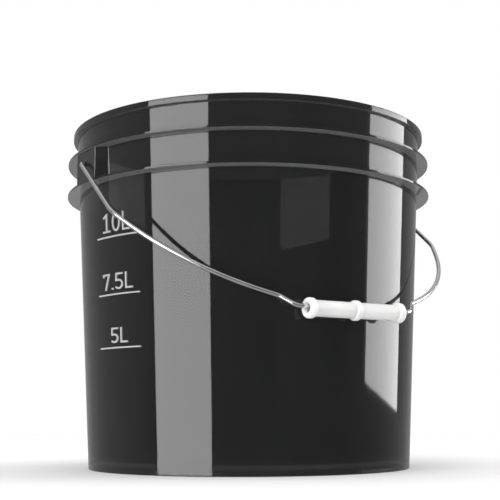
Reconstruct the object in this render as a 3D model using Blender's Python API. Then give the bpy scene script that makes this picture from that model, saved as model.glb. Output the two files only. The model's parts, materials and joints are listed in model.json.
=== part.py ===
"""Wash bucket: a moulded tapered pail with two ears, a steel wire bail and the roller grip on the bail.

Axes: Z is the pail's axis with the floor at Z = 0, X runs through both ears, and the bail leans at -Y.
Sizes below are in millimetres.
"""
import math

import bmesh
import bpy
from mathutils import Vector

MM = 0.001

# Pail wall
PAIL_H = 280.0
BASE_R = 133.5
TOP_R = 148.1
WALL_T = 2.3
PAIL_SIDES = 96

# Foot and floor
FOOT_W = 3.0
FOOT_RECESS = 3.8
FLOOR_T = 3.0
FLOOR_FILLET = 4.0
FOOT_EDGE = 0.8

# Rim band round the mouth
RIM_H = 5.2
RIM_OUT = 3.1
RIM_EDGE = 0.8

# The two flanges round the wall below the rim
RIB_OUT = 9.2
RIB_T = 1.8
RIB_EDGE = 0.3
RIB_DROP = 25.5
RIB_PITCH = 27.1

# Ears: solid blocks between the flanges, each with a blind pivot hole
EAR_W = 34.0
EAR_SPLAY = 7.0
EAR_BACK = 1.7
EAR_EDGE = 0.6
EAR_SKIN = 1.0
HOLE_R = 2.8
HOLE_SIDES = 24
PIVOT_RISE = 15.0

# Bail wire
WIRE_R = 1.75
WIRE_SIDES = 16
ARC_STEP = 12.0
LEG_CLEAR = 0.8
TIP_CLEAR = 1.0
PIVOT_BEND = 3.6
LEG_L = 77.0
SHOULDER_DEG = 25.0
SHOULDER_BEND = 30.0
BOW_END_DEG = 64.0
BOW_SHARE = 0.95
REACH = 191.3
CRANK_BACK = 12.1
CRANK_DEG = 37.0
CRANK_BEND = 5.0
STRAIGHT_BEND = 8.0
GRIP_PLAY = 4.7

# Hand grip
GRIP_L = 88.0
GRIP_R = 6.05
GRIP_END_R = 7.6
GRIP_END_W = 6.0
GRIP_RING_W = 5.0
GRIP_CLEAR = 1.25
GRIP_HANG_GAP = 0.15
GRIP_EDGE = 1.2
GRIP_SIDES = 32
GRIP_REST_GAP = 0.6

# Raised volume marks
MARK_AZ = -78.0
MARK_RISE = 1.0
MARK_SINK = 0.6
STROKE = 1.35
LINE_STROKE = 1.1
MARK_LINE_DEG = 20.6
MARKS = ((181.0, 14.6, "10L"), (136.0, 12.6, "7.5L"), (95.0, 11.8, "5L"))
MARK_GAP = 3.6
GLYPH_W = {"1": 9.6, "0": 9.4, "7": 9.0, "5": 8.6, "L": 7.8, ".": 1.8}
GLYPH_GAP = 3.0

BODY_COLOUR = (0.030, 0.031, 0.033, 1.0)
WIRE_COLOUR = (0.62, 0.63, 0.64, 1.0)
GRIP_COLOUR = (0.86, 0.86, 0.85, 1.0)


def outer_r(z):
    """Outer radius of the tapered wall at height z."""
    return BASE_R + (TOP_R - BASE_R) * z / PAIL_H


def inner_r(z):
    """Inner radius of the wall at height z."""
    return outer_r(z) - WALL_T


def upper_rib():
    """Height of the upper flange's top face."""
    return PAIL_H - RIB_DROP


def lower_rib():
    """Height of the lower flange's top face."""
    return upper_rib() - RIB_PITCH


def pivot_z():
    """Height of the bail's pivot line."""
    return lower_rib() + PIVOT_RISE


def grip_drop():
    """How far the loose grip's axis hangs below the wire's centre line."""
    return GRIP_CLEAR - GRIP_HANG_GAP


def rib_r():
    """Outer radius of both flanges."""
    return outer_r(upper_rib() - RIB_PITCH / 2) + RIB_OUT


def ear_face():
    """Distance of the ears' flat faces from the pail's axis."""
    return rib_r() - EAR_BACK


def leg_u():
    """Distance of the bail's straight legs from the pail's axis."""
    return rib_r() + LEG_CLEAR + WIRE_R


def material(name, colour, metallic, roughness):
    """A plain Principled material."""
    mat = bpy.data.materials.new(name)
    mat.use_nodes = True
    mat.diffuse_color = colour
    shader = mat.node_tree.nodes["Principled BSDF"]
    shader.inputs["Base Color"].default_value = colour
    shader.inputs["Metallic"].default_value = metallic
    shader.inputs["Roughness"].default_value = roughness
    return mat


def add_object(name, bm, mat=None):
    """Closes a bmesh into a named object whose mesh is in metres."""
    bmesh.ops.recalc_face_normals(bm, faces=bm.faces[:])
    mesh = bpy.data.meshes.new(name)
    bm.to_mesh(mesh)
    bm.free()
    obj = bpy.data.objects.new(name, mesh)
    bpy.context.scene.collection.objects.link(obj)
    if mat:
        mesh.materials.append(mat)
    return obj


def revolve(profile, sides, axis="Z"):
    """One ring of points about the axis for each (radius, height) of a profile."""
    bm = bmesh.new()
    rings = []
    for radius, height in profile:
        ring = []
        for k in range(sides):
            a = 2 * math.pi * k / sides
            c = radius * math.cos(a) * MM
            s = radius * math.sin(a) * MM
            place = (c, s, height * MM) if axis == "Z" else (height * MM, c, s)
            ring.append(bm.verts.new(place))
        rings.append(ring)
    return bm, rings


def skin(bm, rings, closed):
    """Quads between neighbouring rings; a closed run joins the last ring to the first, an open one is capped."""
    sides = len(rings[0])
    pairs = list(zip(rings, rings[1:]))
    if closed:
        pairs.append((rings[-1], rings[0]))
    for low, high in pairs:
        for k in range(sides):
            n = (k + 1) % sides
            bm.faces.new((low[k], low[n], high[n], high[k]))
    if not closed:
        bm.faces.new(rings[0][::-1])
        bm.faces.new(rings[-1])


def combine(target, tool, operation):
    """Applies one exact Boolean to target and removes the tool."""
    tool.hide_render = True
    tool.display_type = "WIRE"
    mod = target.modifiers.new("join", "BOOLEAN")
    mod.operation = operation
    mod.solver = "EXACT"
    mod.object = tool
    bpy.context.view_layer.update()
    graph = bpy.context.evaluated_depsgraph_get()
    mesh = bpy.data.meshes.new_from_object(target.evaluated_get(graph))
    target.modifiers.clear()
    target.data = mesh
    bpy.data.objects.remove(tool, do_unlink=True)


def pail_profile():
    """The pail's half section, from the underside's centre out, up the outside and down the inside."""
    base = outer_r(0)
    floor = FOOT_RECESS + FLOOR_T
    run = [
        (base - FOOT_W - FOOT_EDGE, FOOT_RECESS),
        (base - FOOT_W, FOOT_RECESS - FOOT_EDGE),
        (base - FOOT_W, 0.0),
        (base - FOOT_EDGE * 0.6, 0.0),
        (outer_r(FOOT_EDGE), FOOT_EDGE),
    ]
    for top in (lower_rib(), upper_rib()):
        under = top - RIB_T
        run += [
            (outer_r(under), under),
            (rib_r() - RIB_EDGE, under),
            (rib_r(), under + RIB_EDGE),
            (rib_r(), top - RIB_EDGE),
            (rib_r() - RIB_EDGE, top),
            (outer_r(top), top),
        ]
    rim = TOP_R + RIM_OUT
    lip = PAIL_H - RIM_H
    run += [
        (outer_r(lip), lip),
        (rim - RIM_EDGE * 0.5, lip),
        (rim, lip + RIM_EDGE * 0.5),
        (rim, PAIL_H - RIM_EDGE),
        (rim - RIM_EDGE, PAIL_H),
        (inner_r(PAIL_H) + RIM_EDGE, PAIL_H),
        (inner_r(PAIL_H - RIM_EDGE), PAIL_H - RIM_EDGE),
    ]
    corner = inner_r(floor + FLOOR_FILLET)
    for k in range(5):
        a = math.radians(90.0 * k / 4)
        drop = FLOOR_FILLET * (1 - math.sin(a))
        inset = FLOOR_FILLET * (1 - math.cos(a))
        run.append((corner - inset, floor + drop))
    return run


def make_pail_shell():
    """The pail without ears or marks."""
    bm, rings = revolve(pail_profile(), PAIL_SIDES)
    skin(bm, rings, closed=False)
    return add_object("pail", bm)


def ear_block(side):
    """One ear: a block that follows the wall behind and is flat in front, ending inside both flanges."""
    upper = upper_rib() - RIB_T / 2
    lower = lower_rib() - RIB_T / 2
    face = ear_face()
    half = EAR_W / 2
    bm = bmesh.new()
    rings = []
    for z in (lower, upper):
        back = outer_r(z) - WALL_T / 2
        root = half + EAR_SPLAY
        sweep = math.asin(root / back)
        plan = []
        for k in range(9):
            a = sweep * (2 * k / 8 - 1)
            plan.append((back * math.cos(a), back * math.sin(a)))
        plan.append((face - EAR_EDGE, half))
        plan.append((face, half - EAR_EDGE))
        plan.append((face, EAR_EDGE - half))
        plan.append((face - EAR_EDGE, -half))
        rings.append([bm.verts.new((side * x * MM, y * MM, z * MM)) for x, y in plan])
    skin(bm, rings, closed=False)
    return add_object("ear", bm)


def pivot_drill(side):
    """The drill for one ear's blind pivot hole."""
    deep = outer_r(pivot_z()) + EAR_SKIN
    profile = [(HOLE_R, side * deep), (HOLE_R, side * (ear_face() + 5.0))]
    bm, rings = revolve(profile, HOLE_SIDES, axis="X")
    skin(bm, rings, closed=False)
    bmesh.ops.translate(bm, verts=bm.verts[:], vec=(0, 0, pivot_z() * MM))
    return add_object("drill", bm)


def ribbon(points, width, loop=False):
    """Left and right edges of a stroke of even width along points, with mitred corners."""
    left = []
    right = []
    count = len(points)
    for i, (x, y) in enumerate(points):
        before = points[i - 1] if (loop or i > 0) else None
        after = points[(i + 1) % count] if (loop or i < count - 1) else None
        normals = []
        for a, b in ((before, (x, y)), ((x, y), after)):
            if a is None or b is None:
                continue
            length = math.hypot(b[0] - a[0], b[1] - a[1])
            normals.append(((a[1] - b[1]) / length, (b[0] - a[0]) / length))
        nx = sum(n[0] for n in normals) / len(normals)
        ny = sum(n[1] for n in normals) / len(normals)
        scale = width / 2 / (nx * nx + ny * ny)
        left.append((x + nx * scale, y + ny * scale))
        right.append((x - nx * scale, y - ny * scale))
    return left, right


def arc(cx, cy, rx, ry, start, end, steps):
    """Points along an elliptical arc, angles in degrees from +x."""
    out = []
    for k in range(steps + 1):
        a = math.radians(start + (end - start) * k / steps)
        out.append((cx + rx * math.cos(a), cy + ry * math.sin(a)))
    return out


def glyph_strokes(letter, h):
    """Centre lines of one character, as (points, closed) pairs in a box w wide and h tall."""
    e = STROKE / 2
    w = GLYPH_W[letter]
    if letter == "1":
        stem = [(e, h * 0.80), (w * 0.52, h - e), (w * 0.52, e)]
        return [(stem, False), ([(0.0, e), (w, e)], False)]
    if letter == "0":
        return [(arc(w / 2, h / 2, w / 2 - e, h / 2 - e, 0, 342, 19), True)]
    if letter == "7":
        return [([(e, h * 0.80), (e, h - e), (w - e, h - e), (w * 0.36, 0.0)], False)]
    if letter == "5":
        bowl = arc(w / 2 - e, h * 0.31, w / 2, h * 0.31 - e, 110, -140, 10)
        return [([(w, h - e), (e * 1.4, h - e), (e, h * 0.55)] + bowl, False)]
    if letter == "L":
        return [([(e, h), (e, e), (w, e)], False)]
    return [([(0.0, e * 1.1), (w, e * 1.1)], False)]


def stroke_body(points, loop, place, width):
    """A raised stroke. place turns (across, up, out) into a point on the wall."""
    left, right = ribbon(points, width, loop)
    bm = bmesh.new()
    rings = []
    for (lx, ly), (rx, ry) in zip(left, right):
        corners = ((lx, ly, -MARK_SINK), (rx, ry, -MARK_SINK), (rx, ry, MARK_RISE), (lx, ly, MARK_RISE))
        rings.append([bm.verts.new(place(*corner)) for corner in corners])
    skin(bm, rings, closed=loop)
    return add_object("stroke", bm)


def tangent_place(s0, z0):
    """Placement on the plane that touches the wall at height z0, s0 along the wall from the marks' centre."""
    radius = outer_r(z0)
    az = math.radians(MARK_AZ) + s0 / radius
    out = Vector((math.sin(az), -math.cos(az), 0.0))
    across = Vector((math.cos(az), math.sin(az), 0.0))
    slope = (TOP_R - BASE_R) / PAIL_H
    up = (out * slope + Vector((0.0, 0.0, 1.0))).normalized()
    face = across.cross(up).normalized()
    base = out * radius + Vector((0.0, 0.0, z0))
    return lambda x, y, d: (base + across * x + up * y + face * d) * MM


def wall_place(z0):
    """Placement that follows the round wall at height z0."""
    def place(x, y, d):
        radius = outer_r(z0 + y) + d
        az = math.radians(MARK_AZ) + x / outer_r(z0)
        return Vector((math.sin(az) * radius, -math.cos(az) * radius, z0 + y)) * MM
    return place


def mark_bodies(z0, cap, text):
    """The line and characters of one volume mark."""
    half = math.radians(MARK_LINE_DEG / 2) * outer_r(z0)
    steps = 12
    line = [(half * (2 * k / steps - 1), 0.0) for k in range(steps + 1)]
    bodies = [stroke_body(line, False, wall_place(z0), LINE_STROKE)]
    total = sum(GLYPH_W[c] for c in text) + GLYPH_GAP * (len(text) - 1)
    start = -total / 2 if len(text) > 2 else -total / 2 + 1.5
    for letter in text:
        width = GLYPH_W[letter]
        place = tangent_place(start + width / 2, z0 + MARK_GAP)
        for points, loop in glyph_strokes(letter, cap):
            centred = [(x - width / 2, y) for x, y in points]
            bodies.append(stroke_body(centred, loop, place, STROKE))
        start += width + GLYPH_GAP
    return bodies


def make_pail(mat):
    """The one-piece pail: shell, ears with pivot holes, and the raised volume marks."""
    pail = make_pail_shell()
    for side in (-1, 1):
        combine(pail, ear_block(side), "UNION")
        combine(pail, pivot_drill(side), "DIFFERENCE")
    for z0, cap, text in MARKS:
        for body in mark_bodies(z0, cap, text):
            combine(pail, body, "UNION")
    pail.data.materials.clear()
    pail.data.materials.append(mat)
    return pail


def fillet_path(corners):
    """A run of points through (u, v, bend radius) corners, with each corner rounded to its radius."""
    points = [Vector(corners[0][:2])]
    for before, here, after in zip(corners, corners[1:], corners[2:]):
        p = Vector(here[:2])
        to_before = (Vector(before[:2]) - p).normalized()
        to_after = (Vector(after[:2]) - p).normalized()
        inside = to_before.angle(to_after)
        turn = math.pi - inside
        trim = here[2] / math.tan(inside / 2)
        start = p + to_before * trim
        centre = p + (to_before + to_after).normalized() * (here[2] / math.sin(inside / 2))
        spoke = start - centre
        steps = max(3, math.ceil(math.degrees(turn) / 9), math.ceil(turn * here[2] / ARC_STEP))
        sign = 1 if spoke.x * to_before.y - spoke.y * to_before.x < 0 else -1
        for k in range(steps + 1):
            a = sign * turn * k / steps
            c = math.cos(a)
            s = math.sin(a)
            points.append(centre + Vector((spoke.x * c - spoke.y * s, spoke.x * s + spoke.y * c)))
    points.append(Vector(corners[-1][:2]))
    return points


def meet(p, a, q, b):
    """Where the line from p along a crosses the line from q along b."""
    det = a[0] * -b[1] + b[0] * a[1]
    t = ((q[0] - p[0]) * -b[1] + b[0] * (q[1] - p[1])) / det
    return (p[0] + a[0] * t, p[1] + a[1] * t)


def bail_corners():
    """Half of the bail's centre line, from the tip in the ear to the middle of the grip: u across, v down the bail."""
    leg = leg_u()
    tip = outer_r(pivot_z()) + EAR_SKIN + TIP_CLEAR
    a1 = math.radians(SHOULDER_DEG)
    a2 = math.radians(BOW_END_DEG)
    a3 = math.radians(CRANK_DEG)
    foot_u = GRIP_L / 2 + GRIP_PLAY + STRAIGHT_BEND * math.tan((math.pi / 2 - a3) / 2)
    shoulder = (leg, LEG_L)
    crank = (foot_u + CRANK_BACK * math.tan(a3), REACH - CRANK_BACK)
    run1 = (-math.sin(a1), math.cos(a1))
    run2 = (-math.sin(a2), math.cos(a2))
    bow = meet(shoulder, run1, crank, run2)
    near = math.dist(bow, shoulder) - SHOULDER_BEND * math.tan(a1 / 2)
    far = math.dist(bow, crank) - CRANK_BEND
    bow_bend = BOW_SHARE * min(near, far) / math.tan((a2 - a1) / 2)
    return [
        (tip, 0.0, 0.0),
        (leg, 0.0, PIVOT_BEND),
        (shoulder[0], shoulder[1], SHOULDER_BEND),
        (bow[0], bow[1], bow_bend),
        (crank[0], crank[1], CRANK_BEND),
        (foot_u, REACH, STRAIGHT_BEND),
        (0.0, REACH, 0.0),
    ]


def rest_angle():
    """How far the bail swings from straight down until the grip's rings lean on the wall, in radians."""
    slope = math.atan((TOP_R - BASE_R) / PAIL_H)
    low = 0.0
    high = math.radians(89.0)
    for _ in range(60):
        mid = (low + high) / 2
        z = pivot_z() - REACH * math.cos(mid) - grip_drop()
        gap = (REACH * math.sin(mid) - outer_r(z)) * math.cos(slope) - GRIP_END_R
        if gap < GRIP_REST_GAP:
            low = mid
        else:
            high = mid
    return (low + high) / 2


def make_bail(mat, lean):
    """The bail: one bent steel wire. The object's origin is on the pivot line."""
    half = fillet_path(bail_corners())
    path = [(-p.x, p.y) for p in half[:-1]]
    path += [(p.x, p.y) for p in half[:-1]][::-1]
    down = Vector((0.0, -math.sin(lean), -math.cos(lean)))
    across = Vector((1.0, 0.0, 0.0))
    off = across.cross(down)
    bm = bmesh.new()
    rings = []
    for i, (u, v) in enumerate(path):
        before = Vector(path[max(i - 1, 0)])
        after = Vector(path[min(i + 1, len(path) - 1)])
        run = (after - before).normalized()
        side = across * -run.y + down * run.x
        centre = across * u + down * v
        ring = []
        for k in range(WIRE_SIDES):
            a = 2 * math.pi * (k + 0.5) / WIRE_SIDES
            point = centre + (side * math.cos(a) + off * math.sin(a)) * WIRE_R
            ring.append(bm.verts.new(point * MM))
        rings.append(ring)
    skin(bm, rings, closed=False)
    bail = add_object("bail_wire", bm, mat)
    bail.location = (0.0, 0.0, pivot_z() * MM)
    return bail


def make_grip(mat, lean):
    """The hand grip: a tube with a flange at each end and a ring in the middle. Its origin is at its centre."""
    half = GRIP_L / 2
    bore_r = WIRE_R + GRIP_CLEAR
    e = GRIP_EDGE
    outer = [
        (bore_r + e * 0.5, -half),
        (GRIP_END_R - e, -half),
        (GRIP_END_R, -half + e),
        (GRIP_END_R, -half + GRIP_END_W - e),
        (GRIP_R, -half + GRIP_END_W),
        (GRIP_R, -GRIP_RING_W / 2),
        (GRIP_END_R, -GRIP_RING_W / 2 + e),
    ]
    mirrored = [(r, -x) for r, x in outer[::-1]]
    bore = [(bore_r, half - e * 0.5), (bore_r, e * 0.5 - half)]
    bm, rings = revolve(outer + mirrored + bore, GRIP_SIDES, axis="X")
    skin(bm, rings, closed=True)
    grip = add_object("hand_grip", bm, mat)
    y = -REACH * math.sin(lean)
    z = pivot_z() - REACH * math.cos(lean) - grip_drop()
    grip.location = (0.0, y * MM, z * MM)
    return grip


def smooth(obj, degrees):
    """Smooth shading with sharp edges kept."""
    obj.data.shade_smooth()
    obj.data.set_sharp_from_angle(angle=math.radians(degrees))


def main():
    for obj in list(bpy.data.objects):
        bpy.data.objects.remove(obj, do_unlink=True)
    lean = rest_angle()
    plastic = material("smoked_plastic", BODY_COLOUR, 0.0, 0.15)
    wire = material("zinc_wire", WIRE_COLOUR, 1.0, 0.28)
    white = material("white_plastic", GRIP_COLOUR, 0.0, 0.4)
    smooth(make_pail(plastic), 32.0)
    smooth(make_bail(wire, lean), 40.0)
    smooth(make_grip(white, lean), 30.0)


main()
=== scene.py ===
"""Looks of the wash bucket: fine meshes, materials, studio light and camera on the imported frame.

Sizes are in millimetres and repeat the part's own; meshes are made in metres in the frame's axes.
"""
import json
import math

import bmesh
import bpy
from mathutils import Matrix, Vector


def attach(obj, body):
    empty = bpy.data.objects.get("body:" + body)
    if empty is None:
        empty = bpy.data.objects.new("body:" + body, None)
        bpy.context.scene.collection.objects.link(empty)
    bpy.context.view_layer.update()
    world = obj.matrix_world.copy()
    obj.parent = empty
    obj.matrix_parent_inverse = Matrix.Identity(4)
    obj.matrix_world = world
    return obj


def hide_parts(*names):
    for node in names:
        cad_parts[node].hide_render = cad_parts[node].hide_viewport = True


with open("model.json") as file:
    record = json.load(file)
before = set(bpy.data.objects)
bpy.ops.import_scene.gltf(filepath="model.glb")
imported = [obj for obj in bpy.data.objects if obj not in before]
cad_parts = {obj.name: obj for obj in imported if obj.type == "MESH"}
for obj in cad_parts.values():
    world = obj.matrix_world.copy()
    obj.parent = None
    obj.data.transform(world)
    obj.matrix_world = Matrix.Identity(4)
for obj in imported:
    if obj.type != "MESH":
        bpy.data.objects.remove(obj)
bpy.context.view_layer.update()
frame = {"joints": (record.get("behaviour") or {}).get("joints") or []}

MM = 0.001

# Pail wall
PAIL_H = 280.0
BASE_R = 133.5
TOP_R = 148.1
WALL_T = 2.3
PAIL_SIDES = 288
PAIL_TURN_STEP = 22.0
FOOT_W = 3.0
FOOT_SLOPE = 3.0
FOOT_DIP = 1.0
FOOT_RECESS = 3.8
FLOOR_T = 3.0
FLOOR_FILLET = 4.0
GATE_R = 5.0
GATE_DROP = 1.0
GATE_FLAT_SHARE = 0.6
GATE_ROUND = 0.4
STEP_R = 92.0
STEP_RISE = 0.8
STEP_ROUND = 0.6
FOOT_INNER_ROUND = 1.0
FOOT_EDGE_ROUND = 0.5
FOOT_OUTER_ROUND = 0.8

# Rim, flanges and ears
RIM_H = 5.2
RIM_OUT = 3.1
RIM_UNDER_ROUND = 0.5
RIM_TOP_ROUND = 1.0
RIM_INNER_ROUND = 0.9
RIB_OUT = 9.2
RIB_T = 1.8
RIB_DROP = 25.5
RIB_PITCH = 27.1
RIB_ROOT_ROUND = 0.35
RIB_EDGE_ROUND = 0.3
EAR_W = 34.0
EAR_SPLAY = 7.0
EAR_BACK = 1.7
EAR_SKIN = 1.0
EAR_ROUND = 1.8
EAR_TURN_STEP = 8.0
EAR_BACK_STEPS = 8
ROOT_ROUND = 3.0
ROOT_TAIL = 8.0
HOLE_R = 2.8
HOLE_FLARE = 0.5
HOLE_SIDES = 48
DRILL_PAST = 5.0

# Bail wire
WIRE_R = 1.75
WIRE_SIDES = 24
WIRE_CHAMFER = 0.4
WIRE_TURN_STEP = 5.0
WIRE_ARC_STEP = 4.0
LEG_CLEAR = 0.8
TIP_CLEAR = 1.0
PIVOT_BEND = 3.6
LEG_L = 77.0
SHOULDER_DEG = 25.0
SHOULDER_BEND = 30.0
BOW_END_DEG = 64.0
BOW_SHARE = 0.95
CRANK_BACK = 12.1
CRANK_DEG = 37.0
CRANK_BEND = 5.0
STRAIGHT_BEND = 8.0
GRIP_PLAY = 4.7

# Hand grip
GRIP_L = 88.0
GRIP_R = 6.05
GRIP_END_R = 7.6
GRIP_END_W = 6.0
GRIP_RING_W = 5.0
GRIP_CLEAR = 1.25
GRIP_HANG_GAP = 0.15
GRIP_EDGE = 1.2
GRIP_MOUTH_ROUND = 1.8
GRIP_END_ROUND = 1.7
GRIP_FLANK_ROUND = 1.6
GRIP_ROOT_ROUND = 0.5
GRIP_RING_ROOT_ROUND = 0.3
GRIP_RING_ROUND = 1.1
GRIP_SIDES = 72
GRIP_TURN_STEP = 12.0
PARTING_RISE = 0.07

# Raised volume marks
MARK_AZ = -78.0
MARK_RISE = 1.0
MARK_SINK = 0.12
MARK_ROUND = 0.12
STROKE = 1.35
LINE_STROKE = 1.1
MARK_LINE_DEG = 20.6
MARKS = ((181.0, 14.6, "10L"), (136.0, 12.6, "7.5L"), (95.0, 11.8, "5L"))
MARK_GAP = 3.6
GLYPH_W = {"1": 9.6, "0": 9.4, "7": 9.0, "5": 8.6, "L": 7.8, ".": 1.8}
GLYPH_GAP = 3.0
STROKE_STEP = 1.5

# Places on the characters, as shares of their width or height
FLAG_LOW = 0.80
ONE_STEM = 0.52
SEVEN_FOOT = 0.36
FIVE_BOWL = 0.31
FIVE_NECK = 0.55

# Camera and studio
VIEW_DEG = -32.4
CAM_DISTANCE = 902.845
CAM_HEIGHT = 46.6
CAM_ASIDE = 1.45
CAM_TILT_DEG = 8.707
CAM_ROLL_DEG = 0.189
CAM_LENS = 75.8
LIGHT_FAR = 6.0
SOFTBOX_POWER = 21.6
LEFT_BOX = {"az": -77.0, "width": 4.35, "low": -1.2, "high": 2.8}
RIGHT_BOX = {"az": 71.6, "width": 4.2, "low": -0.225, "high": 2.8}
TOP_BOX = {"size": 4.0, "height": 3.0, "power": 150.0}
FLOOR_R = 1.3
FLOOR_SIDES = 96
FLOOR_SHADE = 0.69
SENSOR_W = 36.0
CLIP_START = 0.01
SHARP_DEG = 35.0

# What the world shows: brightness to the eye through smoke, to diffuse light, and to gloss as
# (from, to, brightness at from, brightness at to) of a direction's part away from the camera or up
SMOKE_GROUND = 0.1
DIFFUSE_FILL = 0.3
ROOM_ASIDE_DEG = 8.0
ROOM_AWAY = (-0.5, 1.0, 0.12, 0.46)
ROOM_BELOW = (-0.26, -0.17, 0.43, 0.0)
ROOM_ABOVE = (0.4, 0.75, 0.0, 0.7)

# Smoked plastic
SMOKE_ALPHA = 0.74
SMOKE_IOR = 1.53
SMOKE_SHADE = (0.009, 0.014)
SMOKE_COLOUR = (0.97, 0.985, 1.0)
SMOKE_ROUGH = (0.02, 0.045)
SCUFF_FOOT_H = 7.0
SCUFF_RIM_H = 2.0
SCUFF_ROUGH = 0.28
# Painted light on downward faces high on the pail: which normals count, where it starts, where it
# fades, and how pale
PAINTED_UNDERSIDE_FACING = (-0.95, -0.6)
PAINTED_UNDERSIDE_START_Z = (200.0, 210.0)
PAINTED_UNDERSIDE_FADE_Z = (262.0, 270.0)
PAINTED_UNDERSIDE_LIGHT = (0.22, 0.07)

# Zinc wire and white plastics
WIRE_LIGHT = (0.66, 0.665, 0.67)
WIRE_DARK = (0.56, 0.565, 0.57)
WIRE_ROUGH = (0.17, 0.25)
WIRE_IOR = 1.5
PLASTIC_IOR = 1.5
WHITE_DEPTH = 6.0
WHITE_SCATTER = 0.9
WHITE_SCATTER_RGB = (1.0, 1.0, 0.95)
WHITE_ROUGH = (0.34, 0.46)
PRINT_LIGHT = (0.41, 0.41, 0.41)
PRINT_DARK = (0.36, 0.36, 0.365)
PRINT_GRAIN = 0.4
GRIP_LIGHT = (0.75, 0.75, 0.745)
GRIP_DARK = (0.70, 0.70, 0.695)
GRIP_GRAIN = 0.7


def outer_r(z):
    """Outer radius of the tapered wall at height z."""
    return BASE_R + (TOP_R - BASE_R) * z / PAIL_H


def inner_r(z):
    """Inner radius of the wall at height z."""
    return outer_r(z) - WALL_T


UPPER_RIB = PAIL_H - RIB_DROP
LOWER_RIB = UPPER_RIB - RIB_PITCH
RIB_R = outer_r(UPPER_RIB - RIB_PITCH / 2) + RIB_OUT
EAR_FACE = RIB_R - EAR_BACK


def hinge(name):
    """A joint's point, in millimetres."""
    joint = next(j for j in frame["joints"] if j["name"] == name)
    return Vector(joint["pos_m"]) / MM


PIVOT = hinge("bail_swing")
GRIP_CENTRE = hinge("grip_spin")
BAIL_REST = GRIP_CENTRE + Vector((0.0, 0.0, GRIP_CLEAR - GRIP_HANG_GAP)) - PIVOT
REACH = BAIL_REST.length


# ---------------------------------------------------------------- mesh helpers

def add_piece(name, bm, body, finish, mat, *nodes):
    """Turns a bmesh into a visible piece that rides on a body and stands for CAD nodes."""
    bmesh.ops.recalc_face_normals(bm, faces=bm.faces[:])
    dress(plain_object(name, bm), body, finish, mat, *nodes)


def plain_object(name, bm):
    """A linked object made from a bmesh."""
    mesh = bpy.data.meshes.new(name)
    bm.to_mesh(mesh)
    bm.free()
    obj = bpy.data.objects.new(name, mesh)
    bpy.context.scene.collection.objects.link(obj)
    return obj


def dress(obj, body, finish, mat, *nodes):
    """Material, shading and body of one piece."""
    obj.data.materials.clear()
    obj.data.materials.append(mat)
    obj.data.shade_smooth()
    obj.data.set_sharp_from_angle(angle=math.radians(SHARP_DEG))
    even = obj.modifiers.new("even_normals", "WEIGHTED_NORMAL")
    even.keep_sharp = True
    even.weight = 100
    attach(obj, body)
    if nodes:
        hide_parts(*nodes)


def fillet_path(corners, turn_step=15.0, arc_step=12.0):
    """Points through (u, v, bend radius) corners, each rounded to its radius."""
    points = [Vector(corners[0][:2])]
    for before, here, after in zip(corners, corners[1:], corners[2:]):
        p = Vector(here[:2])
        if here[2] == 0.0:
            points.append(p)
            continue
        to_before = (Vector(before[:2]) - p).normalized()
        to_after = (Vector(after[:2]) - p).normalized()
        inside = to_before.angle(to_after)
        turn = math.pi - inside
        start = p + to_before * here[2] / math.tan(inside / 2)
        centre = p + (to_before + to_after).normalized() * (here[2] / math.sin(inside / 2))
        spoke = start - centre
        by_turn = math.ceil(math.degrees(turn) / turn_step)
        by_length = math.ceil(turn * here[2] / arc_step)
        steps = max(2, by_turn, by_length)
        sign = 1 if spoke.x * to_before.y - spoke.y * to_before.x < 0 else -1
        for k in range(steps + 1):
            a = sign * turn * k / steps
            c = math.cos(a)
            s = math.sin(a)
            points.append(centre + Vector((spoke.x * c - spoke.y * s, spoke.x * s + spoke.y * c)))
    points.append(Vector(corners[-1][:2]))
    return points


def revolve(profile, sides, axis="Z", ridge=0.0):
    """Rings of points about an axis for (radius, height) points.

    Ridge lifts two opposite lines a little.
    """
    bm = bmesh.new()
    rings = []
    for radius, height in profile:
        ring = []
        for k in range(sides):
            a = 2 * math.pi * k / sides
            r = radius + (ridge if k % (sides // 2) == 0 else 0.0)
            c = r * math.cos(a) * MM
            s = r * math.sin(a) * MM
            place = (c, s, height * MM) if axis == "Z" else (height * MM, c, s)
            ring.append(bm.verts.new(place))
        rings.append(ring)
    return bm, rings


def skin(bm, rings, closed):
    """Quads between neighbouring rings; a closed run joins up, an open one is capped."""
    sides = len(rings[0])
    pairs = list(zip(rings, rings[1:]))
    if closed:
        pairs.append((rings[-1], rings[0]))
    for low, high in pairs:
        for k in range(sides):
            n = (k + 1) % sides
            bm.faces.new((low[k], low[n], high[n], high[k]))
    if not closed:
        bm.faces.new(rings[0][::-1])
        bm.faces.new(rings[-1])


def combine(target, tool, operation):
    """Applies one exact Boolean to target and removes the tool."""
    mod = target.modifiers.new("join", "BOOLEAN")
    mod.operation = operation
    mod.solver = "EXACT"
    mod.object = tool
    bpy.context.view_layer.update()
    graph = bpy.context.evaluated_depsgraph_get()
    mesh = bpy.data.meshes.new_from_object(target.evaluated_get(graph))
    target.modifiers.clear()
    target.data = mesh
    bpy.data.objects.remove(tool, do_unlink=True)


# ---------------------------------------------------------------- pail

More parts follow.
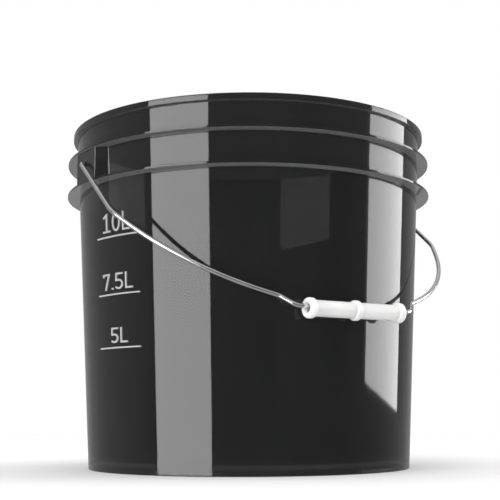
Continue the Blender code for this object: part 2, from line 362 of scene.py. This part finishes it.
def pail_corners():
    """Corners of the pail's half section as (radius, height, rounding).

    They run along the underside, up the outside and back down the inside.
    """
    base = outer_r(0)
    floor = FOOT_RECESS + FLOOR_T
    rim = TOP_R + RIM_OUT
    lip = PAIL_H - RIM_H
    run = [
        (GATE_R * GATE_FLAT_SHARE, FOOT_RECESS - GATE_DROP, 0.0),
        (GATE_R, FOOT_RECESS - GATE_DROP, GATE_ROUND),
        (GATE_R + GATE_DROP, FOOT_RECESS, GATE_ROUND),
        (STEP_R, FOOT_RECESS, STEP_ROUND),
        (STEP_R + 2 * STEP_RISE, FOOT_RECESS + STEP_RISE, STEP_ROUND),
        (base - FOOT_W - FOOT_SLOPE, FOOT_RECESS + STEP_RISE, FOOT_INNER_ROUND),
        (base - FOOT_W, FOOT_RECESS - FOOT_DIP, FOOT_INNER_ROUND),
        (base - FOOT_W, 0.0, FOOT_EDGE_ROUND),
        (base, 0.0, FOOT_OUTER_ROUND),
    ]
    for top in (LOWER_RIB, UPPER_RIB):
        under = top - RIB_T
        run += [
            (outer_r(under), under, RIB_ROOT_ROUND),
            (RIB_R, under, RIB_EDGE_ROUND),
            (RIB_R, top, RIB_EDGE_ROUND),
            (outer_r(top), top, RIB_ROOT_ROUND),
        ]
    run += [
        (outer_r(lip), lip, RIM_UNDER_ROUND),
        (rim, lip, RIM_UNDER_ROUND),
        (rim, PAIL_H, RIM_TOP_ROUND),
        (inner_r(PAIL_H), PAIL_H, RIM_INNER_ROUND),
        (inner_r(floor), floor + STEP_RISE, FLOOR_FILLET),
        (STEP_R + 2 * STEP_RISE, floor + STEP_RISE, STEP_ROUND),
        (STEP_R, floor, STEP_ROUND),
        (GATE_R, floor, 0.0),
    ]
    return run


def ear_plan(z):
    """Outline of an ear seen from above, from inside the wall out to its flat face."""
    half = EAR_W / 2
    wall = outer_r(z)
    back = wall - WALL_T / 2
    root = math.asin((half + EAR_SPLAY) / wall)
    sweep = root + ROOT_TAIL / wall
    inside = []
    for k in range(2 * EAR_BACK_STEPS + 1):
        a = sweep * (k / EAR_BACK_STEPS - 1)
        inside.append((back * math.cos(a), back * math.sin(a)))
    front = fillet_path([
        (inside[-1][0], inside[-1][1], 0.0),
        (wall * math.cos(root), wall * math.sin(root), ROOT_ROUND),
        (EAR_FACE, half, EAR_ROUND),
        (EAR_FACE, -half, EAR_ROUND),
        (wall * math.cos(root), -wall * math.sin(root), ROOT_ROUND),
        (inside[0][0], inside[0][1], 0.0),
    ], turn_step=EAR_TURN_STEP)
    return inside + [tuple(p) for p in front[1:-1]]


def make_ears():
    """Both ears as one tool, each ending inside the two flanges."""
    bm = bmesh.new()
    for side in (-1, 1):
        rings = []
        for z in (LOWER_RIB - RIB_T / 2, UPPER_RIB - RIB_T / 2):
            plan = ear_plan(z)
            rings.append([bm.verts.new((side * x * MM, y * MM, z * MM)) for x, y in plan])
        skin(bm, rings, closed=False)
    bmesh.ops.recalc_face_normals(bm, faces=bm.faces[:])
    return plain_object("ears", bm)


def make_drills():
    """Both blind pivot holes as one tool, flared a little at the mouth."""
    deep = outer_r(PIVOT.z) + EAR_SKIN
    joined = bmesh.new()
    for side in (-1, 1):
        profile = [
            (HOLE_R, side * deep),
            (HOLE_R, side * (EAR_FACE - HOLE_FLARE)),
            (HOLE_R + HOLE_FLARE, side * EAR_FACE),
            (HOLE_R + HOLE_FLARE, side * (EAR_FACE + DRILL_PAST)),
        ]
        bm, rings = revolve(profile, HOLE_SIDES, axis="X")
        skin(bm, rings, closed=False)
        bmesh.ops.translate(bm, verts=bm.verts[:], vec=(0, 0, PIVOT.z * MM))
        mesh = bpy.data.meshes.new("drill")
        bm.to_mesh(mesh)
        bm.free()
        joined.from_mesh(mesh)
        bpy.data.meshes.remove(mesh)
    bmesh.ops.recalc_face_normals(joined, faces=joined.faces[:])
    return plain_object("drills", joined)


def make_pail(mat):
    """The one-piece pail with its flanges, ears and pivot holes."""
    profile = [tuple(p) for p in fillet_path(pail_corners(), turn_step=PAIL_TURN_STEP)]
    bm, rings = revolve(profile, PAIL_SIDES)
    skin(bm, rings, closed=False)
    bmesh.ops.recalc_face_normals(bm, faces=bm.faces[:])
    pail = plain_object("pail_body", bm)
    combine(pail, make_ears(), "UNION")
    combine(pail, make_drills(), "DIFFERENCE")
    dress(pail, "pail", "smoked_plastic", mat, "pail")


# ---------------------------------------------------------------- volume marks

def arc(cx, cy, rx, ry, start, end, steps):
    """Points along an elliptical arc, angles in degrees from +x."""
    out = []
    for k in range(steps + 1):
        a = math.radians(start + (end - start) * k / steps)
        out.append((cx + rx * math.cos(a), cy + ry * math.sin(a)))
    return out


def glyph_strokes(letter, h):
    """Centre lines of one character, GLYPH_W wide and h tall, as (points, closed) pairs."""
    e = STROKE / 2
    w = GLYPH_W[letter]
    if letter == "1":
        stem = [(e, h * FLAG_LOW), (w * ONE_STEM, h - e), (w * ONE_STEM, e)]
        return [(stem, False), ([(0.0, e), (w, e)], False)]
    if letter == "0":
        return [(arc(w / 2, h / 2, w / 2 - e, h / 2 - e, 0, 350, 35), True)]
    if letter == "7":
        bar = [(e, h * FLAG_LOW), (e, h - e), (w - e, h - e), (w * SEVEN_FOOT, 0.0)]
        return [(bar, False)]
    if letter == "5":
        bowl = arc(w / 2 - e, h * FIVE_BOWL, w / 2, h * FIVE_BOWL - e, 110, -140, 20)
        return [([(w, h - e), (e * 1.4, h - e), (e, h * FIVE_NECK)] + bowl, False)]
    if letter == "L":
        return [([(e, h), (e, e), (w, e)], False)]
    return [([(0.0, e * 1.1), (w, e * 1.1)], False)]


def ribbon(points, width, loop):
    """Left and right edges of a stroke of even width along points, with mitred corners."""
    left = []
    right = []
    count = len(points)
    for i, (x, y) in enumerate(points):
        before = points[i - 1] if (loop or i > 0) else None
        after = points[(i + 1) % count] if (loop or i < count - 1) else None
        normals = []
        for a, b in ((before, (x, y)), ((x, y), after)):
            if a is None or b is None:
                continue
            length = math.hypot(b[0] - a[0], b[1] - a[1])
            normals.append(((a[1] - b[1]) / length, (b[0] - a[0]) / length))
        nx = sum(n[0] for n in normals) / len(normals)
        ny = sum(n[1] for n in normals) / len(normals)
        scale = width / 2 / (nx * nx + ny * ny)
        left.append((x + nx * scale, y + ny * scale))
        right.append((x - nx * scale, y - ny * scale))
    return left, right


def divided(points, loop):
    """The same line with points STROKE_STEP apart or less, so that it follows the round wall."""
    ends = points[1:] + points[:1] if loop else points[1:]
    out = []
    for (ax, ay), (bx, by) in zip(points, ends):
        steps = max(1, math.ceil(math.hypot(bx - ax, by - ay) / STROKE_STEP))
        for k in range(steps):
            out.append((ax + (bx - ax) * k / steps, ay + (by - ay) * k / steps))
    return out if loop else out + [points[-1]]


def on_wall(x, y, z0, lift):
    """A point x along the wall from the marks' centre line and y above z0, lifted off the wall."""
    radius = outer_r(z0 + y) + lift
    az = math.radians(MARK_AZ) + x / outer_r(z0)
    return Vector((math.sin(az) * radius, -math.cos(az) * radius, z0 + y)) * MM


def add_stroke(bm, points, loop, z0, width):
    """A raised stroke on the wall, with its upper edges rounded off."""
    line = divided(points, loop)
    full_left, full_right = ribbon(line, width, loop)
    top_left, top_right = ribbon(line, width - 2 * MARK_ROUND, loop)
    shoulder = MARK_RISE - MARK_ROUND
    rings = []
    for fl, fr, tl, tr in zip(full_left, full_right, top_left, top_right):
        section = (
            (fl, -MARK_SINK),
            (fr, -MARK_SINK),
            (fr, shoulder),
            (tr, MARK_RISE),
            (tl, MARK_RISE),
            (fl, shoulder),
        )
        rings.append([bm.verts.new(on_wall(x, y, z0, lift)) for (x, y), lift in section])
    skin(bm, rings, closed=loop)


def make_marks(mat):
    """The lines and characters of all the volume marks."""
    bm = bmesh.new()
    for z0, cap, text in MARKS:
        half = math.radians(MARK_LINE_DEG / 2) * outer_r(z0)
        add_stroke(bm, [(-half, 0.0), (half, 0.0)], False, z0, LINE_STROKE)
        total = sum(GLYPH_W[c] for c in text) + GLYPH_GAP * (len(text) - 1)
        start = -total / 2 if len(text) > 2 else -total / 2 + STROKE
        for letter in text:
            for points, loop in glyph_strokes(letter, cap):
                placed = [(x + start, y + MARK_GAP) for x, y in points]
                add_stroke(bm, placed, loop, z0, STROKE)
            start += GLYPH_W[letter] + GLYPH_GAP
    add_piece("volume_marks", bm, "pail", "white_plastic", mat)


# ---------------------------------------------------------------- bail and grip

def meet(p, a, q, b):
    """Where the line from p along a crosses the line from q along b."""
    det = a[0] * -b[1] + b[0] * a[1]
    t = ((q[0] - p[0]) * -b[1] + b[0] * (q[1] - p[1])) / det
    return (p[0] + a[0] * t, p[1] + a[1] * t)


def bail_corners():
    """Half of the bail's centre line, from the tip in the ear to the grip's middle.

    Each corner is (across, down the bail, bend radius).
    """
    leg = RIB_R + LEG_CLEAR + WIRE_R
    tip = outer_r(PIVOT.z) + EAR_SKIN + TIP_CLEAR
    a1 = math.radians(SHOULDER_DEG)
    a2 = math.radians(BOW_END_DEG)
    a3 = math.radians(CRANK_DEG)
    foot_u = GRIP_L / 2 + GRIP_PLAY + STRAIGHT_BEND * math.tan((math.pi / 2 - a3) / 2)
    shoulder = (leg, LEG_L)
    crank = (foot_u + CRANK_BACK * math.tan(a3), REACH - CRANK_BACK)
    run1 = (-math.sin(a1), math.cos(a1))
    run2 = (-math.sin(a2), math.cos(a2))
    bow = meet(shoulder, run1, crank, run2)
    near = math.dist(bow, shoulder) - SHOULDER_BEND * math.tan(a1 / 2)
    far = math.dist(bow, crank) - CRANK_BEND
    bow_bend = BOW_SHARE * min(near, far) / math.tan((a2 - a1) / 2)
    return [
        (tip, 0.0, 0.0),
        (tip + WIRE_CHAMFER, 0.0, 0.0),
        (leg, 0.0, PIVOT_BEND),
        (shoulder[0], shoulder[1], SHOULDER_BEND),
        (bow[0], bow[1], bow_bend),
        (crank[0], crank[1], CRANK_BEND),
        (foot_u, REACH, STRAIGHT_BEND),
        (0.0, REACH, 0.0),
    ]


def make_bail(mat):
    """The bail: one bent wire with chamfered tips."""
    half = fillet_path(bail_corners(), turn_step=WIRE_TURN_STEP, arc_step=WIRE_ARC_STEP)
    path = [(-p.x, p.y) for p in half[:-1]]
    path += [(p.x, p.y) for p in half[:-1]][::-1]
    down = BAIL_REST.normalized()
    across = Vector((1.0, 0.0, 0.0))
    off = across.cross(down)
    last = len(path) - 1
    bm = bmesh.new()
    rings = []
    for i, (u, v) in enumerate(path):
        run = (Vector(path[min(i + 1, last)]) - Vector(path[max(i - 1, 0)])).normalized()
        side = across * -run.y + down * run.x
        centre = PIVOT + across * u + down * v
        radius = WIRE_R - WIRE_CHAMFER if i in (0, last) else WIRE_R
        ring = []
        for k in range(WIRE_SIDES):
            a = 2 * math.pi * k / WIRE_SIDES
            spoke = side * math.cos(a) + off * math.sin(a)
            ring.append(bm.verts.new((centre + spoke * radius) * MM))
        rings.append(ring)
    skin(bm, rings, closed=False)
    add_piece("bail_bent_wire", bm, "bail", "zinc_wire", mat, "bail_wire")


def make_grip(mat):
    """The grip: a tube with a rounded flange at each end and a rounded ring in the middle."""
    half = GRIP_L / 2
    flank = half - GRIP_END_W
    bore_r = WIRE_R + GRIP_CLEAR
    side = [
        (bore_r, 0.0, 0.0),
        (bore_r, half, GRIP_MOUTH_ROUND),
        (GRIP_END_R, half, GRIP_END_ROUND),
        (GRIP_END_R, flank + GRIP_EDGE, GRIP_FLANK_ROUND),
        (GRIP_R, flank, GRIP_ROOT_ROUND),
        (GRIP_R, GRIP_RING_W / 2, GRIP_RING_ROOT_ROUND),
        (GRIP_END_R, GRIP_RING_W / 2 - GRIP_EDGE / 2, GRIP_RING_ROUND),
        (GRIP_END_R, 0.0, 0.0),
    ]
    right = [tuple(p) for p in fillet_path(side, turn_step=GRIP_TURN_STEP)]
    left = [(r, -x) for r, x in right[1:-1]][::-1]
    bm, rings = revolve(right + left, GRIP_SIDES, axis="X", ridge=PARTING_RISE)
    skin(bm, rings, closed=True)
    bmesh.ops.translate(bm, verts=bm.verts[:], vec=GRIP_CENTRE * MM)
    add_piece("grip_sleeve", bm, "grip", "white_plastic", mat, "hand_grip")


# ---------------------------------------------------------------- materials

class Nodes:
    """Short calls for one material's nodes."""

    def __init__(self, name):
        self.mat = bpy.data.materials.new(name)
        self.mat.use_nodes = True
        self.tree = self.mat.node_tree
        self.shader = self.tree.nodes["Principled BSDF"]
        coords = self.tree.nodes.new("ShaderNodeTexCoord")
        self.place = coords.outputs["Object"]
        self.normal = coords.outputs["Normal"]

    def link(self, out, socket):
        """Joins an output to a socket."""
        self.tree.links.new(out, socket)

    def constants(self, **values):
        """Sets the shader's own sockets, with _ for a space."""
        for key, value in values.items():
            self.shader.inputs[key.replace("_", " ")].default_value = value

    def noise(self, size_mm, detail=3.0, stretch=(1.0, 1.0, 1.0)):
        """Noise whose features are about size_mm across, as its factor output."""
        scaled = self.tree.nodes.new("ShaderNodeMapping")
        scaled.inputs["Scale"].default_value = stretch
        self.link(self.place, scaled.inputs["Vector"])
        tex = self.tree.nodes.new("ShaderNodeTexNoise")
        tex.inputs["Scale"].default_value = 1.0 / (size_mm * MM)
        tex.inputs["Detail"].default_value = detail
        self.link(scaled.outputs["Vector"], tex.inputs["Vector"])
        return tex.outputs["Fac"]

    def spread(self, value, low, high, to_low, to_high):
        """Maps value from low-high to to_low-to_high, held at the ends."""
        node = self.tree.nodes.new("ShaderNodeMapRange")
        for socket, number in zip(node.inputs[1:5], (low, high, to_low, to_high)):
            socket.default_value = number
        self.link(value, node.inputs["Value"])
        return node.outputs["Result"]

    def maths(self, operation, a, b):
        """One operation on two outputs or numbers."""
        node = self.tree.nodes.new("ShaderNodeMath")
        node.operation = operation
        for socket, value in zip(node.inputs, (a, b)):
            if isinstance(value, float):
                socket.default_value = value
            else:
                self.link(value, socket)
        return node.outputs[0]

    def upward(self, vector):
        """The part of a vector that points up: of a place, its height in metres."""
        split = self.tree.nodes.new("ShaderNodeSeparateXYZ")
        self.link(vector, split.inputs[0])
        return split.outputs["Z"]

    def tint(self, factor, first, second):
        """Colour from first to second by factor."""
        mix = self.tree.nodes.new("ShaderNodeMix")
        mix.data_type = "RGBA"
        self.link(factor, mix.inputs["Factor"])
        mix.inputs[6].default_value = (*first, 1.0)
        mix.inputs[7].default_value = (*second, 1.0)
        self.link(mix.outputs[2], self.shader.inputs["Base Color"])

    def bump(self, *layers):
        """Stacks (factor, height in mm) layers into the shader's normal."""
        under = None
        for factor, height_mm in layers:
            node = self.tree.nodes.new("ShaderNodeBump")
            node.inputs["Distance"].default_value = height_mm * MM
            self.link(factor, node.inputs["Height"])
            if under:
                self.link(under, node.inputs["Normal"])
            under = node.outputs["Normal"]
        self.link(under, self.shader.inputs["Normal"])


def smoked_plastic():
    """Glossy dark smoked polypropylene that lets a little light through.

    It is scuffed at the foot and rim, and painted a little paler where a flange faces down, as
    painted light.
    """
    m = Nodes("smoked_plastic")
    m.constants(Alpha=SMOKE_ALPHA, IOR=SMOKE_IOR, Metallic=0.0)
    flow = m.noise(45.0, 4.0, (1.0, 1.0, 0.35))
    grain = m.noise(0.9, 2.0)
    height = m.upward(m.place)
    foot = m.spread(height, 0.0, SCUFF_FOOT_H * MM, 1.0, 0.0)
    rim = m.spread(height, (PAIL_H - SCUFF_RIM_H) * MM, PAIL_H * MM, 0.0, 1.0)
    worn = m.maths("MAXIMUM", foot, rim)
    patches = m.spread(m.noise(3.0, 5.0), 0.45, 0.7, 0.0, SCUFF_ROUGH)
    scuff = m.maths("MULTIPLY", worn, patches)
    gloss = m.spread(flow, 0.3, 0.7, *SMOKE_ROUGH)
    m.link(m.maths("ADD", gloss, scuff), m.shader.inputs["Roughness"])
    # Painted light: the base colour is made paler on downward faces of the flanges and rim lip,
    # for light from the floor below
    under = m.spread(m.upward(m.normal), *PAINTED_UNDERSIDE_FACING, 1.0, 0.0)
    high = m.spread(height, *(z * MM for z in PAINTED_UNDERSIDE_START_Z), 0.0, 1.0)
    strength = m.spread(height, *(z * MM for z in PAINTED_UNDERSIDE_FADE_Z), *PAINTED_UNDERSIDE_LIGHT)
    shade = m.spread(flow, 0.25, 0.75, *SMOKE_SHADE)
    painted_underside_light = m.maths("MULTIPLY", m.maths("MULTIPLY", under, high), strength)
    m.tint(m.maths("ADD", shade, painted_underside_light), (0.0, 0.0, 0.0), SMOKE_COLOUR)
    m.bump((flow, 0.012), (grain, 0.0006))
    return m.mat


def zinc_wire():
    """Drawn zinc-plated steel: bright grey, fine drawing lines, slightly cloudy plating."""
    m = Nodes("zinc_wire")
    m.constants(Metallic=1.0, IOR=WIRE_IOR)
    cloud = m.noise(9.0, 4.0)
    grit = m.noise(0.5, 3.0)
    lines = m.noise(0.35, 2.0, (0.12, 1.0, 1.0))
    rough = m.spread(cloud, 0.3, 0.7, *WIRE_ROUGH)
    speckle = m.spread(grit, 0.35, 0.65, -0.02, 0.04)
    m.link(m.maths("ADD", rough, speckle), m.shader.inputs["Roughness"])
    m.tint(m.spread(cloud, 0.3, 0.7, 0.0, 1.0), WIRE_DARK, WIRE_LIGHT)
    m.bump((lines, 0.012), (grit, 0.008))
    return m.mat


def white_plastic(name, light, dark, grain_mm):
    """Satin moulded white plastic with faint clouding and a fine grain."""
    m = Nodes(name)
    m.constants(Metallic=0.0, IOR=PLASTIC_IOR, Subsurface_Weight=WHITE_SCATTER)
    m.constants(Subsurface_Radius=WHITE_SCATTER_RGB, Subsurface_Scale=WHITE_DEPTH * MM)
    cloud = m.noise(14.0, 4.0)
    grain = m.noise(grain_mm, 3.0)
    rough = m.spread(cloud, 0.3, 0.7, *WHITE_ROUGH)
    speckle = m.spread(grain, 0.3, 0.7, -0.03, 0.04)
    m.link(m.maths("ADD", rough, speckle), m.shader.inputs["Roughness"])
    m.tint(m.spread(cloud, 0.25, 0.75, 0.0, 1.0), dark, light)
    m.bump((cloud, 0.03), (grain, 0.012))
    return m.mat


# ---------------------------------------------------------------- studio

def heading(az_deg):
    """Level direction at az_deg, counted from -Y towards +X."""
    az = math.radians(az_deg)
    return Vector((math.sin(az), -math.cos(az), 0.0))


def softbox(name, box):
    """A tall soft light that faces the pail from LIGHT_FAR away, from its low to its high edge."""
    light = bpy.data.lights.new(name, "AREA")
    light.shape = "RECTANGLE"
    light.size = box["width"]
    light.size_y = box["high"] - box["low"]
    light.energy = SOFTBOX_POWER * light.size * light.size_y
    obj = bpy.data.objects.new(name, light)
    bpy.context.scene.collection.objects.link(obj)
    out = heading(box["az"])
    obj.location = out * LIGHT_FAR + Vector((0.0, 0.0, (box["high"] + box["low"]) / 2))
    obj.rotation_euler = out.to_track_quat("Z", "Y").to_euler()
    obj.visible_camera = False


def top_softbox():
    """A large soft light straight above."""
    light = bpy.data.lights.new("top_softbox", "AREA")
    light.shape = "SQUARE"
    light.size = TOP_BOX["size"]
    light.energy = TOP_BOX["power"]
    obj = bpy.data.objects.new("top_softbox", light)
    bpy.context.scene.collection.objects.link(obj)
    obj.location = (0.0, 0.0, TOP_BOX["height"])
    obj.visible_camera = False
    obj.visible_glossy = False


def hide_behind_smoke(tree, shader):
    """Lets the floor show only where it is seen directly.

    So the smoked wall keeps a dark ground behind it.
    """
    path = tree.nodes.new("ShaderNodeLightPath")
    clear = tree.nodes.new("ShaderNodeBsdfTransparent")
    mix = tree.nodes.new("ShaderNodeMixShader")
    tree.links.new(path.outputs["Transparent Depth"], mix.inputs["Fac"])
    tree.links.new(shader.outputs[0], mix.inputs[1])
    tree.links.new(clear.outputs[0], mix.inputs[2])
    tree.links.new(mix.outputs[0], tree.nodes["Material Output"].inputs["Surface"])


def add_floor():
    """A plain pale disc that gloss doesn't mirror."""
    bm = bmesh.new()
    bmesh.ops.create_circle(bm, cap_ends=True, segments=FLOOR_SIDES, radius=FLOOR_R)
    floor = plain_object("studio_floor", bm)
    mat = bpy.data.materials.new("studio_floor")
    mat.use_nodes = True
    shader = mat.node_tree.nodes["Principled BSDF"]
    shader.inputs["Base Color"].default_value = (FLOOR_SHADE, FLOOR_SHADE, FLOOR_SHADE, 1.0)
    shader.inputs["Roughness"].default_value = 1.0
    shader.inputs["Specular IOR Level"].default_value = 0.0
    hide_behind_smoke(mat.node_tree, shader)
    floor.data.materials.append(mat)
    floor.visible_glossy = False
    floor.visible_shadow = False


def studio_world():
    """White backdrop to the eye; gloss sees a dim room.

    The room is darker on the camera's side and paler behind, below and above.
    """
    world = bpy.data.worlds.new("studio")
    bpy.context.scene.world = world
    world.use_nodes = True
    tree = world.node_tree
    tree.nodes.clear()

    def node(kind, **settings):
        """A new node with its settings."""
        made = tree.nodes.new(kind)
        for key, value in settings.items():
            setattr(made, key, value)
        return made

    def larger(a, b):
        """The larger of two outputs."""
        made = node("ShaderNodeMath", operation="MAXIMUM")
        tree.links.new(a, made.inputs[0])
        tree.links.new(b, made.inputs[1])
        return made.outputs[0]

    def ramp(value, low, high, to_low, to_high, shape="SMOOTHSTEP"):
        """Maps value from low-high to to_low-to_high, held at the ends."""
        made = node("ShaderNodeMapRange", interpolation_type=shape)
        for socket, number in zip(made.inputs[1:5], (low, high, to_low, to_high)):
            socket.default_value = number
        tree.links.new(value, made.inputs["Value"])
        return made.outputs["Result"]

    direction = node("ShaderNodeTexCoord").outputs["Generated"]
    away = node("ShaderNodeVectorMath", operation="DOT_PRODUCT")
    away.inputs[1].default_value = -heading(VIEW_DEG + ROOM_ASIDE_DEG)
    tree.links.new(direction, away.inputs[0])
    split = node("ShaderNodeSeparateXYZ")
    tree.links.new(direction, split.inputs[0])
    room = ramp(away.outputs["Value"], *ROOM_AWAY, "LINEAR")
    below = ramp(split.outputs["Z"], *ROOM_BELOW)
    above = ramp(split.outputs["Z"], *ROOM_ABOVE)
    gloss = larger(room, larger(above, below))
    path = node("ShaderNodeLightPath")
    fill = node("ShaderNodeMix")
    fill.inputs[3].default_value = DIFFUSE_FILL
    tree.links.new(path.outputs["Is Diffuse Ray"], fill.inputs[0])
    tree.links.new(gloss, fill.inputs[2])
    direct = node("ShaderNodeMath", operation="LESS_THAN")
    direct.inputs[1].default_value = 0.5
    tree.links.new(path.outputs["Transparent Depth"], direct.inputs[0])
    backdrop = ramp(direct.outputs[0], 0.0, 1.0, SMOKE_GROUND, 1.0)
    seen = node("ShaderNodeMix")
    tree.links.new(path.outputs["Is Camera Ray"], seen.inputs[0])
    tree.links.new(fill.outputs[0], seen.inputs[2])
    tree.links.new(backdrop, seen.inputs[3])
    background = node("ShaderNodeBackground")
    tree.links.new(seen.outputs[0], background.inputs["Strength"])
    output = node("ShaderNodeOutputWorld")
    tree.links.new(background.outputs[0], output.inputs["Surface"])
    background.inputs["Color"].default_value = (1.0, 1.0, 1.0, 1.0)


def add_camera():
    """A long lens just above the floor, looking a little up at the pail's front left."""
    cam = bpy.data.cameras.new("camera")
    cam.lens = CAM_LENS
    cam.sensor_width = SENSOR_W
    cam.clip_start = CLIP_START
    obj = bpy.data.objects.new("camera", cam)
    bpy.context.scene.collection.objects.link(obj)
    tilt = math.radians(CAM_TILT_DEG)
    look = Vector((0.0, math.cos(tilt), math.sin(tilt)))
    right = Vector((1.0, 0.0, 0.0))
    roll = Matrix.Rotation(math.radians(CAM_ROLL_DEG), 3, look)
    up = right.cross(look)
    axes = [roll @ right, roll @ up, -look]
    turn = Matrix.Rotation(math.radians(VIEW_DEG), 3, "Z")
    place = Matrix([turn @ a for a in axes]).transposed().to_4x4()
    place.translation = turn @ (Vector((CAM_ASIDE, -CAM_DISTANCE, CAM_HEIGHT)) * MM)
    obj.matrix_world = place
    bpy.context.scene.camera = obj


def main():
    """The bucket's four visible pieces, then the studio around them."""
    make_pail(smoked_plastic())
    make_marks(white_plastic("mark_print", PRINT_LIGHT, PRINT_DARK, PRINT_GRAIN))
    make_bail(zinc_wire())
    make_grip(white_plastic("white_plastic", GRIP_LIGHT, GRIP_DARK, GRIP_GRAIN))
    softbox("left_softbox", LEFT_BOX)
    softbox("right_softbox", RIGHT_BOX)
    top_softbox()
    add_floor()
    studio_world()
    add_camera()
    bpy.context.scene.view_settings.view_transform = "Standard"


main()
